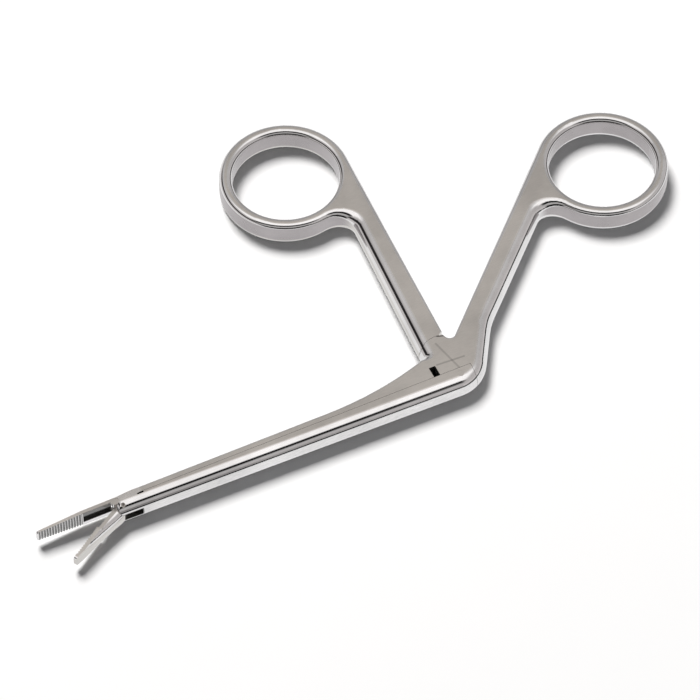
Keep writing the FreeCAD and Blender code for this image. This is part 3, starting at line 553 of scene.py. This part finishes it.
class FORCEPS_OT_handles(bpy.types.Operator):
    """Finish the two handles with their finger rings"""
    bl_idname = "forceps.handles"
    bl_label = "Handles"

    def execute(self, context):
        look = context.scene.forceps_steel
        # The fixed half: painted shade in its hollows and slots and on its ring's upright wall.
        finish_node("fixed_half", steel(
            "satin_steel_shaft", look, grain_turn=0.0, ring=REAR_RING,
            scratches=PIVOT_MARKS + [SEAM_MARK], painted_shade=FIXED_PAINTED_SHADE))
        # The front handle: painted shade on its sides and on its ring's upright wall.
        finish_node("front_handle", steel(
            "satin_steel_handle", look, grain_turn=math.radians(-83),
            side_colour=look.side_shade_colour, ring=FRONT_RING))
        return {"FINISHED"}


class FORCEPS_OT_slide(bpy.types.Operator):
    """Finish the slide bar"""
    bl_idname = "forceps.slide"
    bl_label = "Slide bar"

    def execute(self, context):
        look = context.scene.forceps_steel
        # Painted shade on the slide bar where it lies level with the jaw's slot.
        finish_node("slide_bar", steel(
            "satin_steel_slide", look, grain_turn=0.0, painted_shade=[FORK_PAINTED_SHADE]))
        return {"FINISHED"}


class FORCEPS_OT_jaws(bpy.types.Operator):
    """Finish the moving jaw, with painted shade on its sides, and close the back of the fixed jaw's
    slot with a thin wall painted near black as the shade in the slot
    """
    bl_idname = "forceps.jaws"
    bl_label = "Jaws"

    def execute(self, context):
        look = context.scene.forceps_steel
        # The moving jaw: painted shade on its sides.
        finish_node("moving_jaw", steel(
            "satin_steel_jaw", look, grain_turn=math.radians(-30),
            side_colour=look.side_shade_colour))
        # A thin wall at the back of the jaw's slot, painted near black all over as the shade there.
        wall = bar_object("slot_back", *SLOT_BACK, SLOT_BACK_ROUNDING)
        wall.data.materials.append(steel(
            "slot_back_painted_shade", look, grain_turn=0.0, painted_shade=[SLOT_BACK_PAINTED_SHADE]))
        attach(wall, "fixed_side")
        return {"FINISHED"}


class FORCEPS_OT_pins(bpy.types.Operator):
    """Finish the pins, which are ground flush with the faces"""
    bl_idname = "forceps.pins"
    bl_label = "Pins"

    def execute(self, context):
        look = context.scene.forceps_steel
        material = steel(
            "pin_steel", look, grain_turn=0.0, edge_roughness=0.2, scratches=PIVOT_MARKS)
        for node in ("handle_pivot_pin", "drive_pin", "jaw_pivot_pin", "link_pin"):
            finish_node(node, material)
        return {"FINISHED"}


class FORCEPS_OT_stage(bpy.types.Operator):
    """Set the table, the lamp, the world and the camera"""
    bl_idname = "forceps.stage"
    bl_label = "Stage"

    def execute(self, context):
        scene = context.scene
        look = scene.forceps_stage
        scene.view_settings.view_transform = "Standard"
        table = grid_object("table", table_mesh(look.table_size / 2, TABLE_LEVEL))
        table.data.materials.append(table_material(look))

        centre = (PIVOT[0] + look.offset[0], PIVOT[1] + look.offset[1], 0.0)
        scene.world = studio_world(look)
        key_lamp(look, centre)
        scene.camera = photograph_camera(look, centre)
        return {"FINISHED"}


class FORCEPS_PT_panel(bpy.types.Panel):
    """The steps that finish the forceps"""
    bl_idname = "FORCEPS_PT_panel"
    bl_label = "Alligator Ear Forceps"
    bl_space_type = "VIEW_3D"
    bl_region_type = "UI"
    bl_category = "Forceps"

    def draw(self, context):
        column = self.layout.column()
        for step in STEPS:
            column.operator(step.bl_idname)
        for group in (context.scene.forceps_steel, context.scene.forceps_stage):
            for name in group.__annotations__:
                column.prop(group, name)


STEPS = (FORCEPS_OT_handles, FORCEPS_OT_slide, FORCEPS_OT_jaws, FORCEPS_OT_pins, FORCEPS_OT_stage)
CLASSES = (ForcepsSteel, ForcepsStage) + STEPS + (FORCEPS_PT_panel,)


def register():
    for item in CLASSES:
        bpy.utils.register_class(item)
    bpy.types.Scene.forceps_steel = bpy.props.PointerProperty(type=ForcepsSteel)
    bpy.types.Scene.forceps_stage = bpy.props.PointerProperty(type=ForcepsStage)


def unregister():
    del bpy.types.Scene.forceps_stage
    del bpy.types.Scene.forceps_steel
    for item in reversed(CLASSES):
        bpy.utils.unregister_class(item)


def main():
    register()
    bpy.ops.forceps.handles()
    bpy.ops.forceps.slide()
    bpy.ops.forceps.jaws()
    bpy.ops.forceps.pins()
    bpy.ops.forceps.stage()


if __name__ == "__main__":
    main()
